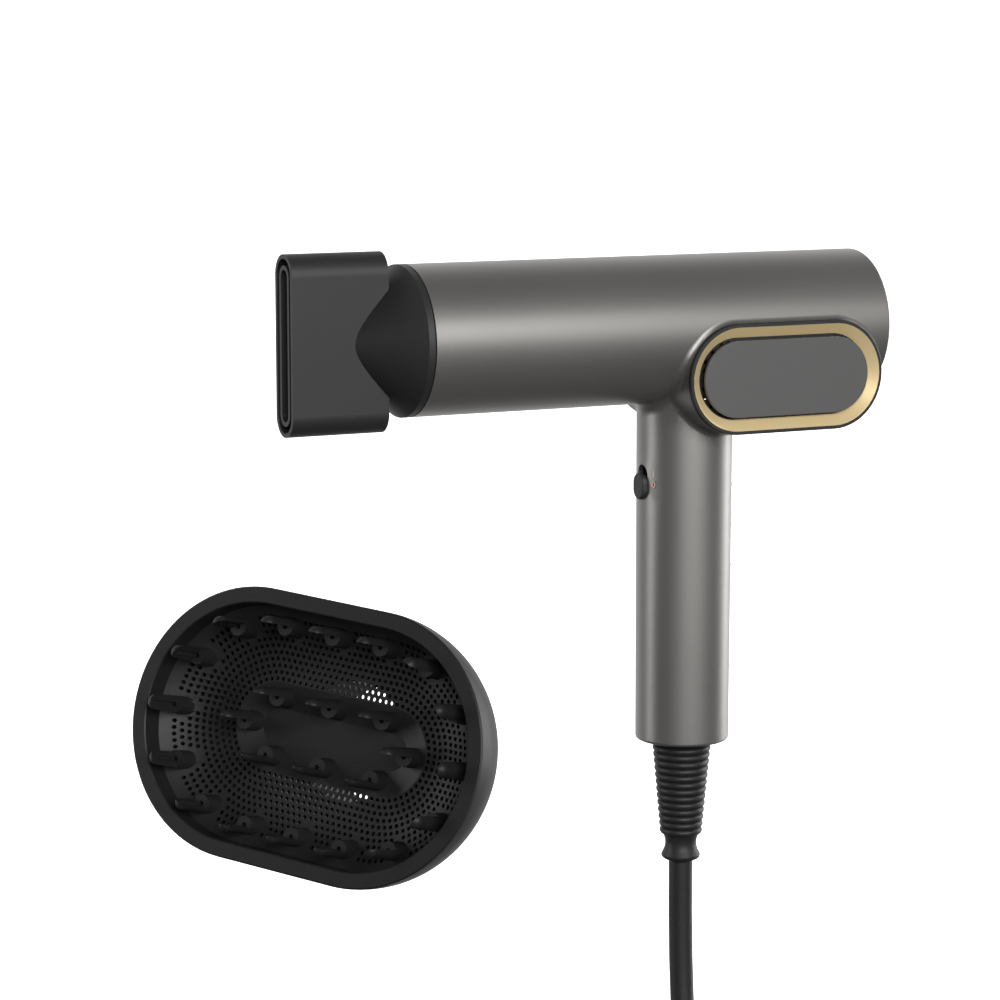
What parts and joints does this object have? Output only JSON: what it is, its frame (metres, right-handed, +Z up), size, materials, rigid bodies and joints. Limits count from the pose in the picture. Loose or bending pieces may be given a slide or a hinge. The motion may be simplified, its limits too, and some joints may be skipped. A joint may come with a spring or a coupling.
{
  "type": "hair dryer",
  "caption": "Slim hair dryer with a round barrel on a straight grip, flat side air intakes, a turning slot nozzle, a separate finger diffuser and a coiled mains cord",
  "frame": {"origin": "on the grip's axis, 95 mm below the barrel's axis, at the middle of the hand grip", "axes": "+Z runs up the grip to the barrel, +X runs along the barrel towards its rear, so air leaves towards -X, and -Y is the side seen first"},
  "size_m": [0.292, 0.1893, 0.3898],
  "materials": {
    "painted_shell": "satin warm-grey metallic paint",
    "gold_trim": "satin gold plating",
    "black_plastic": "black, slightly satin",
    "dark_mesh": "black painted",
    "panel_grey": "fine satin grey",
    "diffuser_plastic": "satin black",
    "mica": "pressed mica sheet",
    "heater_wire": "drawn resistance wire",
    "steel": "plain",
    "aluminium_sink": "plain",
    "soft_rubber": "matt black",
    "tie_fabric": "woven hook-and-loop strap",
    "plug_plastic": "black, fine texture",
    "plated_brass": "nickel-plated",
    "circuit_board": "green solder mask",
    "electronic_parts": "black",
    "lead_insulation": "brown insulation"
  },
  "bodies": {
    "housing": {"body_shell": "painted_shell", "rear_cap": "painted_shell", "outlet_grille": "black_plastic", "switch_body": "black_plastic", "fan_duct": "black_plastic", "end_cap": "black_plastic", "cord_clamp": "black_plastic", "lead_block": "black_plastic", "mica_sleeve": "mica", "mica_cross": "mica", "heater_coils": "heater_wire", "outlet_ring": "steel", "motor_can": "steel", "clamp_screws": "steel", "ion_needles": "steel", "thermal_cutout": "steel", "heat_sink": "aluminium_sink", "fan_mounts": "soft_rubber", "strain_relief": "soft_rubber", "cord_tube": "soft_rubber", "cord_coil": "soft_rubber", "cord_tail": "soft_rubber", "plug_relief": "soft_rubber", "cord_tie": "tie_fabric", "plug_body": "plug_plastic", "plug_pins": "plated_brass", "main_board": "circuit_board", "button_board": "circuit_board", "board_parts": "electronic_parts", "tact_switches": "electronic_parts", "thermal_fuse": "electronic_parts", "board_spacers": "electronic_parts", "mains_leads": "lead_insulation", "heater_leads": "lead_insulation"},
    "fan": {"fan_shaft": "steel", "impeller": "black_plastic"},
    "power_switch": {"switch_cap": "black_plastic"},
    "speed_button": {"speed_button": "black_plastic"},
    "heat_button": {"heat_button": "black_plastic"},
    "cool_button": {"cool_button": "black_plastic"},
    "cover_near": {"intake_frame_near": "black_plastic", "intake_trim_near": "gold_trim", "intake_mesh_near": "dark_mesh", "intake_panel_near": "panel_grey"},
    "cover_far": {"intake_frame_far": "black_plastic", "intake_trim_far": "gold_trim", "intake_mesh_far": "dark_mesh", "intake_panel_far": "panel_grey"},
    "nozzle_ring": {"nozzle_retainer": "black_plastic", "nozzle_magnet": "steel"},
    "nozzle": {"nozzle_shell": "black_plastic", "nozzle_channel": "black_plastic"},
    "diffuser": {"diffuser_bowl": "diffuser_plastic", "diffuser_plate": "diffuser_plastic", "diffuser_prongs": "diffuser_plastic", "diffuser_inner_prongs": "diffuser_plastic"}
  },
  "joints": [
    {"name": "nozzle_pull", "type": "slide", "parent": "housing", "child": "nozzle_ring", "axis": [-1, 0, 0], "range_m": [0, 0.03]},
    {"name": "nozzle_turn", "type": "hinge", "parent": "nozzle_ring", "child": "nozzle", "pos_m": [-0.1205, 0, 0.095], "axis": [1, 0, 0], "continuous": true},
    {"name": "fan_spin", "type": "hinge", "parent": "housing", "child": "fan", "pos_m": [0, 0, 0.095], "axis": [1, 0, 0], "continuous": true},
    {"name": "power_slide", "type": "slide", "parent": "housing", "child": "power_switch", "axis": [0, 0, 1], "range_m": [0, 0.0039]},
    {"name": "speed_press", "type": "slide", "parent": "housing", "child": "speed_button", "axis": [-1, 0, 0], "range_m": [0, 0.001], "stiffness_N_per_m": 400, "springref_m": -0.001},
    {"name": "heat_press", "type": "slide", "parent": "housing", "child": "heat_button", "axis": [-1, 0, 0], "range_m": [0, 0.001], "stiffness_N_per_m": 400, "springref_m": -0.001},
    {"name": "cool_press", "type": "slide", "parent": "housing", "child": "cool_button", "axis": [-1, 0, 0], "range_m": [0, 0.001], "stiffness_N_per_m": 400, "springref_m": -0.001},
    {"name": "cover_near_pull", "type": "slide", "parent": "housing", "child": "cover_near", "axis": [0, -1, 0], "range_m": [0, 0.02]},
    {"name": "cover_far_pull", "type": "slide", "parent": "housing", "child": "cover_far", "axis": [0, 1, 0], "range_m": [0, 0.02]},
    {"name": "diffuser_lift", "type": "slide", "parent": "housing", "child": "diffuser", "axis": [0, 0, 1], "range_m": [0, 0.04]}
  ]
}
